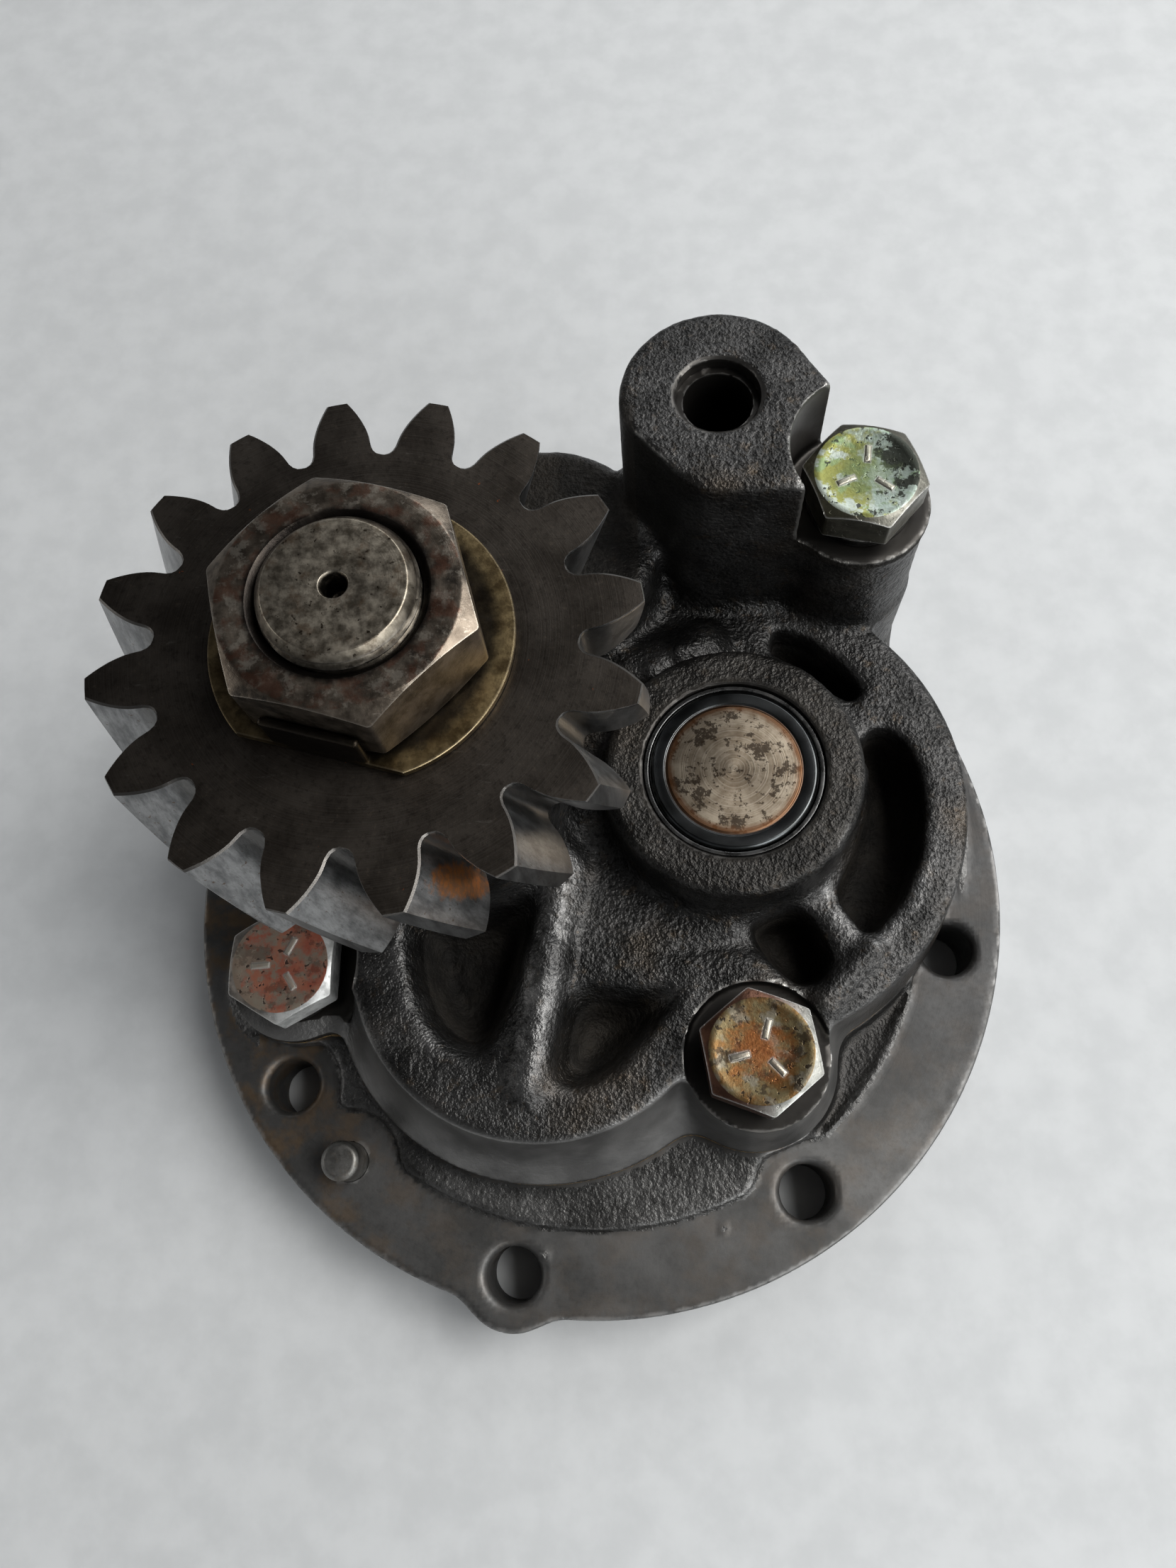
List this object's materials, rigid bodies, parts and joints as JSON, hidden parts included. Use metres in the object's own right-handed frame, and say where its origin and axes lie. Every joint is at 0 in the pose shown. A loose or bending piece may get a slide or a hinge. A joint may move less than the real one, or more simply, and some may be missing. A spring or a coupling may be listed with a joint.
{
  "type": "gear oil pump",
  "caption": "Gear-type oil pump: helical drive gear on a nut-retained shaft, ribbed cast cover with oil port, idler shaft, spur pump gears and a round bolt flange.",
  "frame": {"origin": "centre of the round flange, on its flat outer (lower) face", "axes": "+Z parallel to both shafts, from the flange towards the helical gear; +X from the drive shaft's axis towards the idler shaft's axis; +Y towards the oil-port boss"},
  "size_m": [0.15, 0.1596, 0.1121],
  "materials": {
    "flange_iron": "machined ring, satin, with oil staining; cast surfaces left rough",
    "cast_iron": "sand-cast, near black, satin, worn bright on its edges",
    "gasket": "brown fibre gasket sheet",
    "gear_steel": "dark faces with fine turning lines, burnished tooth flanks",
    "nut_steel": "brown-black patina, bright on the worn corners",
    "yellow_washer": "yellowed sheet steel with dark stains",
    "shaft_steel": "turned ends, pale with dark spots and heat tint",
    "steel": "ground steel",
    "bronze": "plain bearing bronze",
    "bush_steel": "dark steel-backed bush",
    "bolt_green": "worn yellow-green chromate, grey where scraped",
    "bolt_yellow": "worn yellow-brown chromate with dark spots",
    "bolt_red": "worn pale red paint over plated steel",
    "spring_steel": "black oiled spring steel"
  },
  "bodies": {
    "housing": {"pump_body": "flange_iron", "cover_gasket": "gasket", "pump_cover": "cast_iron", "drive_bush_lower": "bronze", "drive_bush_upper": "bronze", "idler_bush_lower": "bush_steel", "idler_bush_upper": "bush_steel", "cover_bolt_a": "bolt_green", "cover_bolt_b": "bolt_yellow", "cover_bolt_c": "bolt_red", "cover_bolt_d": "bolt_yellow", "spring_washer_a": "spring_steel", "spring_washer_b": "spring_steel", "spring_washer_c": "spring_steel", "spring_washer_d": "spring_steel", "flange_dowel_pin": "steel", "cover_dowel_pin_1": "steel", "cover_dowel_pin_2": "steel"},
    "drive_train": {"drive_shaft": "shaft_steel", "helical_drive_gear": "gear_steel", "gear_key": "steel", "tab_washer": "yellow_washer", "shaft_nut": "nut_steel", "thrust_washer": "bronze", "pump_drive_gear": "steel", "pump_gear_key": "steel"},
    "idler_train": {"idler_shaft": "shaft_steel", "pump_idler_gear": "steel", "idler_gear_key": "steel"}
  },
  "joints": [
    {"name": "drive_spin", "type": "hinge", "parent": "housing", "child": "drive_train", "pos_m": [-0.0248, 0.0123, 0.05], "axis": [0, 0, 1], "continuous": true},
    {"name": "idler_spin", "type": "hinge", "parent": "housing", "child": "idler_train", "pos_m": [0.0252, 0.0123, 0.03], "axis": [0, 0, 1], "continuous": true}
  ],
  "couplings": [
    {"joint": "idler_spin", "follows": "drive_spin", "ratio": -1}
  ]
}
